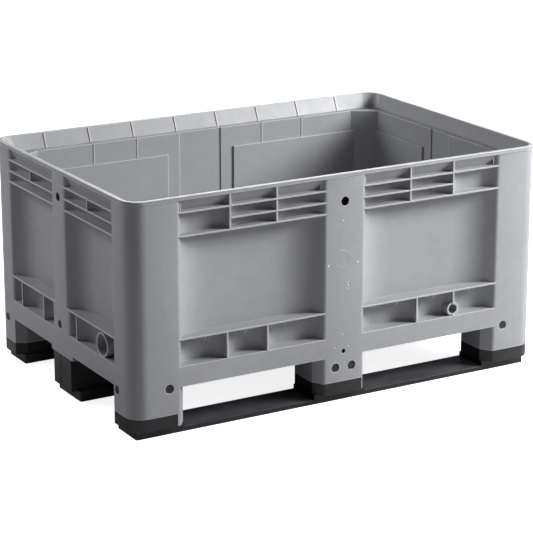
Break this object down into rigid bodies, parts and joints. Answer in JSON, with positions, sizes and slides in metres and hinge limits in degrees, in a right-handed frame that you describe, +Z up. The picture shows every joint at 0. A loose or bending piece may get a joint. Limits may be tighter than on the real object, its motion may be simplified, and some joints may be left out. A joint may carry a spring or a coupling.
{
  "type": "pallet box",
  "caption": "Rectangular moulded plastic pallet box with open top, recessed ribbed side walls and hollow feet on three dark runners.",
  "frame": {"origin": "centre of the bounding box at ground level", "axes": "+X along the long walls, +Z up from the ground, the pictured long wall faces -Y"},
  "size_m": [1.2, 0.8, 0.6],
  "materials": {
    "grey_plastic": "satin moulded",
    "black_plastic": "matte moulded"
  },
  "bodies": {
    "root": {"box_body": "grey_plastic", "runner_front": "black_plastic", "runner_rear": "black_plastic", "runner_middle": "black_plastic"}
  },
  "joints": []
}
